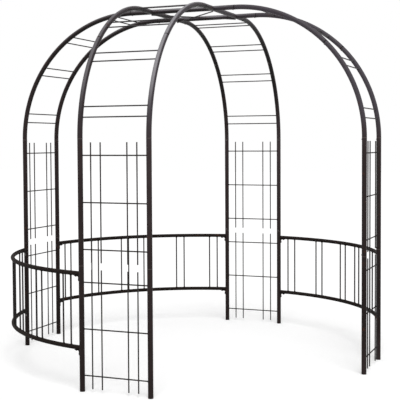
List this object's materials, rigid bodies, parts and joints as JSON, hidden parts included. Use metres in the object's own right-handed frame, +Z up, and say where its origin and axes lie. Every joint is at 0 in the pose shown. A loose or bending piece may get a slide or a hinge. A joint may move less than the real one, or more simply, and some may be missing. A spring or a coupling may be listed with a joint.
{
  "type": "round garden gazebo frame",
  "caption": "Round steel tube gazebo frame: ladder legs, crossed arches with rungs, open crown and curved baluster railings round an open entrance.",
  "frame": {"origin": "on the ground below the middle of the crown", "axes": "+Z up; the four legs stand on the X and Y axes, the front leg at -Y, and the open entrance faces between +X and -Y"},
  "size_m": [2.532, 2.532, 2.396],
  "materials": {
    "coated_tubes": "dark brown powder coat, satin",
    "coated_rods": "dark brown powder coat, satin"
  },
  "bodies": {
    "root": {"front_lower_posts": "coated_tubes", "right_lower_posts": "coated_tubes", "back_lower_posts": "coated_tubes", "left_lower_posts": "coated_tubes", "front_lower_lattice": "coated_rods", "right_lower_lattice": "coated_rods", "back_lower_lattice": "coated_rods", "left_lower_lattice": "coated_rods", "front_upper_posts": "coated_tubes", "right_upper_posts": "coated_tubes", "back_upper_posts": "coated_tubes", "left_upper_posts": "coated_tubes", "front_upper_lattice": "coated_rods", "right_upper_lattice": "coated_rods", "back_upper_lattice": "coated_rods", "left_upper_lattice": "coated_rods", "front_lower_arch": "coated_tubes", "right_lower_arch": "coated_tubes", "back_lower_arch": "coated_tubes", "left_lower_arch": "coated_tubes", "front_lower_arch_rungs": "coated_rods", "right_lower_arch_rungs": "coated_rods", "back_lower_arch_rungs": "coated_rods", "left_lower_arch_rungs": "coated_rods", "front_upper_arch": "coated_tubes", "right_upper_arch": "coated_tubes", "back_upper_arch": "coated_tubes", "left_upper_arch": "coated_tubes", "front_upper_arch_rungs": "coated_rods", "right_upper_arch_rungs": "coated_rods", "back_upper_arch_rungs": "coated_rods", "left_upper_arch_rungs": "coated_rods", "crown_frame": "coated_tubes", "crown_cross": "coated_rods", "front_left_top_rail": "coated_tubes", "front_left_bottom_rail": "coated_tubes", "front_left_balusters": "coated_rods", "back_left_top_rail": "coated_tubes", "back_left_bottom_rail": "coated_tubes", "back_left_balusters": "coated_rods", "back_right_top_rail": "coated_tubes", "back_right_bottom_rail": "coated_tubes", "back_right_balusters": "coated_rods", "rail_brackets": "coated_tubes"}
  },
  "joints": []
}
